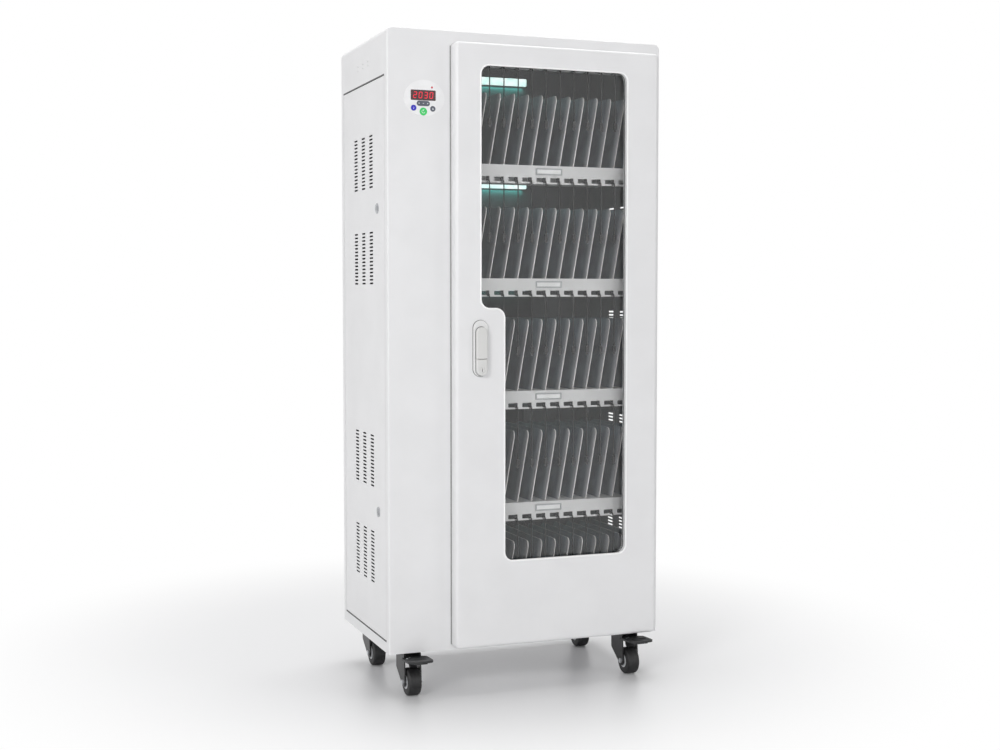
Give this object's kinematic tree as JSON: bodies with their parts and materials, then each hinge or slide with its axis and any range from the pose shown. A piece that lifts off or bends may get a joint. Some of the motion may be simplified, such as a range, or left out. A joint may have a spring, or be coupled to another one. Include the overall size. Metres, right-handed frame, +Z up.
{
  "type": "tablet charging cart",
  "caption": "Upright sheet-metal charging cart on four casters: glazed front door with swing handle, bays of leaning device slots with leads, vented service door, control panel.",
  "frame": {"origin": "centre of the bounding box on the floor under the wheels", "axes": "+Z up, -Y towards the front door, +X to the right as seen from the front"},
  "size_m": [0.6726, 0.4499, 1.503],
  "materials": {
    "body_paint": "satin powder coat, off-white",
    "shelf_paint": "satin powder coat, light grey",
    "divider_paint": "satin, mid grey",
    "dark_paint": "satin black",
    "zinc_steel": "bright zinc plate",
    "handle_metal": "satin powder coat, pale grey",
    "window_glass": "clear",
    "black_rubber": "matte",
    "wheel_rubber": "matte",
    "lead_black": "matte",
    "plug_dark": "matte, near black",
    "panel_white": "gloss white",
    "display_dark": "dark tinted window",
    "key_blue": "gloss blue",
    "key_grey": "gloss dark grey",
    "key_green": "gloss green",
    "black_plastic": "matte black",
    "lamp_white": "opal, lit from behind",
    "card_clear": "pale"
  },
  "bodies": {
    "cabinet": {"cabinet_shell": "body_paint", "front_frame": "body_paint", "back_panel": "body_paint", "base_pan": "body_paint", "partition_wall": "divider_paint", "shelf_1": "shelf_paint", "shelf_2": "shelf_paint", "shelf_3": "shelf_paint", "shelf_4": "shelf_paint", "shelf_5": "shelf_paint", "top_comb": "shelf_paint", "slot_dividers": "divider_paint", "cable_grommets": "black_rubber", "charging_cords": "lead_black", "charging_plugs": "plug_dark", "label_holders": "card_clear", "light_housings": "zinc_steel", "light_diffusers": "lamp_white", "charger_modules": "black_plastic", "control_box": "black_plastic", "panel_bezel": "panel_white", "display_window": "display_dark", "power_inlet": "black_plastic", "fan_housings": "black_plastic", "fan_guards": "zinc_steel", "door_hinge_leaves": "body_paint", "service_hinge_pins": "zinc_steel", "caster_plates": "dark_paint"},
    "front_door": {"door_skin": "body_paint", "door_liner": "body_paint", "door_glass": "window_glass", "glass_gasket": "black_rubber", "door_hinge_pins": "body_paint", "handle_plate": "handle_metal"},
    "handle_core": {"handle_spindle": "zinc_steel"},
    "handle_grip": {"handle_lever": "handle_metal"},
    "door_push_lock": {"lock_button": "handle_metal"},
    "rod_up": {"latch_rod_upper": "zinc_steel"},
    "rod_down": {"latch_rod_lower": "zinc_steel"},
    "service_panel": {"service_door": "body_paint", "service_lock_barrels": "zinc_steel"},
    "service_cam_up": {"service_lock_upper": "zinc_steel"},
    "service_cam_down": {"service_lock_lower": "zinc_steel"},
    "light_button": {"light_key": "key_blue"},
    "lock_button_panel": {"lock_key": "key_grey"},
    "power_button": {"power_key": "key_green"},
    "rocker_button": {"rocker_key": "key_grey"},
    "mains_rocker": {"power_switch": "black_plastic"},
    "fan_wheel_up": {"fan_rotor_upper": "black_plastic"},
    "fan_wheel_down": {"fan_rotor_lower": "black_plastic"},
    "fork_front_left": {"caster_fork_front_left": "dark_paint"},
    "wheel_front_left": {"caster_wheel_front_left": "wheel_rubber"},
    "fork_front_right": {"caster_fork_front_right": "dark_paint"},
    "wheel_front_right": {"caster_wheel_front_right": "wheel_rubber"},
    "fork_back_left": {"caster_fork_back_left": "dark_paint"},
    "wheel_back_left": {"caster_wheel_back_left": "wheel_rubber"},
    "fork_back_right": {"caster_fork_back_right": "dark_paint"},
    "wheel_back_right": {"caster_wheel_back_right": "wheel_rubber"},
    "pedal_left": {"brake_pedal_left": "black_plastic"},
    "pedal_right": {"brake_pedal_right": "black_plastic"}
  },
  "joints": [
    {"name": "front_door_swing", "type": "hinge", "parent": "cabinet", "child": "front_door", "pos_m": [0.3095, -0.189, 0.789], "axis": [0, 0, 1], "range_deg": [0, 105]},
    {"name": "handle_turn", "type": "hinge", "parent": "front_door", "child": "handle_core", "pos_m": [-0.1286, -0.209, 0.828], "axis": [0, -1, 0], "range_deg": [0, 90]},
    {"name": "handle_lift", "type": "hinge", "parent": "handle_core", "child": "handle_grip", "pos_m": [-0.1286, -0.2144, 0.828], "axis": [-1, 0, 0], "range_deg": [0, 22]},
    {"name": "upper_rod_slide", "type": "slide", "parent": "front_door", "child": "rod_up", "axis": [0, 0, 1], "range_m": [0, 0.014]},
    {"name": "lower_rod_slide", "type": "slide", "parent": "front_door", "child": "rod_down", "axis": [0, 0, -1], "range_m": [0, 0.014]},
    {"name": "door_lock_press", "type": "slide", "parent": "front_door", "child": "door_push_lock", "axis": [0, 1, 0], "range_m": [0, 0.003], "stiffness_N_per_m": 400, "springref_m": -0.002},
    {"name": "service_door_swing", "type": "hinge", "parent": "cabinet", "child": "service_panel", "pos_m": [-0.331, 0.195, 0.764], "axis": [0, 0, -1], "range_deg": [0, 105]},
    {"name": "upper_cam_turn", "type": "hinge", "parent": "service_panel", "child": "service_cam_up", "pos_m": [-0.325, -0.091, 1.108], "axis": [1, 0, 0], "range_deg": [0, 90]},
    {"name": "lower_cam_turn", "type": "hinge", "parent": "service_panel", "child": "service_cam_down", "pos_m": [-0.325, -0.091, 0.416], "axis": [1, 0, 0], "range_deg": [0, 90]},
    {"name": "light_key_press", "type": "slide", "parent": "cabinet", "child": "light_button", "axis": [0, 1, 0], "range_m": [0, 0.0006], "stiffness_N_per_m": 500, "springref_m": -0.0006},
    {"name": "lock_key_press", "type": "slide", "parent": "cabinet", "child": "lock_button_panel", "axis": [0, 1, 0], "range_m": [0, 0.0006], "stiffness_N_per_m": 500, "springref_m": -0.0006},
    {"name": "power_key_press", "type": "slide", "parent": "cabinet", "child": "power_button", "axis": [0, 1, 0], "range_m": [0, 0.0006], "stiffness_N_per_m": 500, "springref_m": -0.0006},
    {"name": "rocker_key_rock", "type": "hinge", "parent": "cabinet", "child": "rocker_button", "pos_m": [-0.251, -0.1695, 1.33785], "axis": [0, 0, 1], "range_deg": [-3, 3], "stiffness_Nm_per_rad": 0.05},
    {"name": "mains_switch_rock", "type": "hinge", "parent": "cabinet", "child": "mains_rocker", "pos_m": [-0.255, 0.217, 0.2285], "axis": [1, 0, 0], "range_deg": [0, 16]},
    {"name": "upper_fan_spin", "type": "hinge", "parent": "cabinet", "child": "fan_wheel_up", "pos_m": [0.075, 0.207, 1.283], "axis": [0, 1, 0], "continuous": true},
    {"name": "lower_fan_spin", "type": "hinge", "parent": "cabinet", "child": "fan_wheel_down", "pos_m": [0.075, 0.207, 0.573], "axis": [0, 1, 0], "continuous": true},
    {"name": "front_left_swivel", "type": "hinge", "parent": "cabinet", "child": "fork_front_left", "pos_m": [-0.274, -0.121, 0.095], "axis": [0, 0, 1], "continuous": true},
    {"name": "front_right_swivel", "type": "hinge", "parent": "cabinet", "child": "fork_front_right", "pos_m": [0.274, -0.121, 0.095], "axis": [0, 0, 1], "continuous": true},
    {"name": "back_left_swivel", "type": "hinge", "parent": "cabinet", "child": "fork_back_left", "pos_m": [-0.274, 0.171, 0.095], "axis": [0, 0, 1], "continuous": true},
    {"name": "back_right_swivel", "type": "hinge", "parent": "cabinet", "child": "fork_back_right", "pos_m": [0.274, 0.171, 0.095], "axis": [0, 0, 1], "continuous": true},
    {"name": "front_left_roll", "type": "hinge", "parent": "fork_front_left", "child": "wheel_front_left", "pos_m": [-0.274, -0.146, 0.0315], "axis": [1, 0, 0], "continuous": true},
    {"name": "front_right_roll", "type": "hinge", "parent": "fork_front_right", "child": "wheel_front_right", "pos_m": [0.274, -0.146, 0.0315], "axis": [1, 0, 0], "continuous": true},
    {"name": "back_left_roll", "type": "hinge", "parent": "fork_back_left", "child": "wheel_back_left", "pos_m": [-0.274, 0.146, 0.0315], "axis": [1, 0, 0], "continuous": true},
    {"name": "back_right_roll", "type": "hinge", "parent": "fork_back_right", "child": "wheel_back_right", "pos_m": [0.274, 0.146, 0.0315], "axis": [1, 0, 0], "continuous": true},
    {"name": "left_brake_press", "type": "hinge", "parent": "fork_front_left", "child": "pedal_left", "pos_m": [-0.274, -0.143, 0.0855], "axis": [1, 0, 0], "range_deg": [0, 12]},
    {"name": "right_brake_press", "type": "hinge", "parent": "fork_front_right", "child": "pedal_right", "pos_m": [0.274, -0.143, 0.0855], "axis": [1, 0, 0], "range_deg": [0, 12]}
  ],
  "couplings": [
    {"joint": "upper_rod_slide", "follows": "handle_turn", "m_per_rad": 0.0089127},
    {"joint": "lower_rod_slide", "follows": "handle_turn", "m_per_rad": 0.0089127}
  ]
}
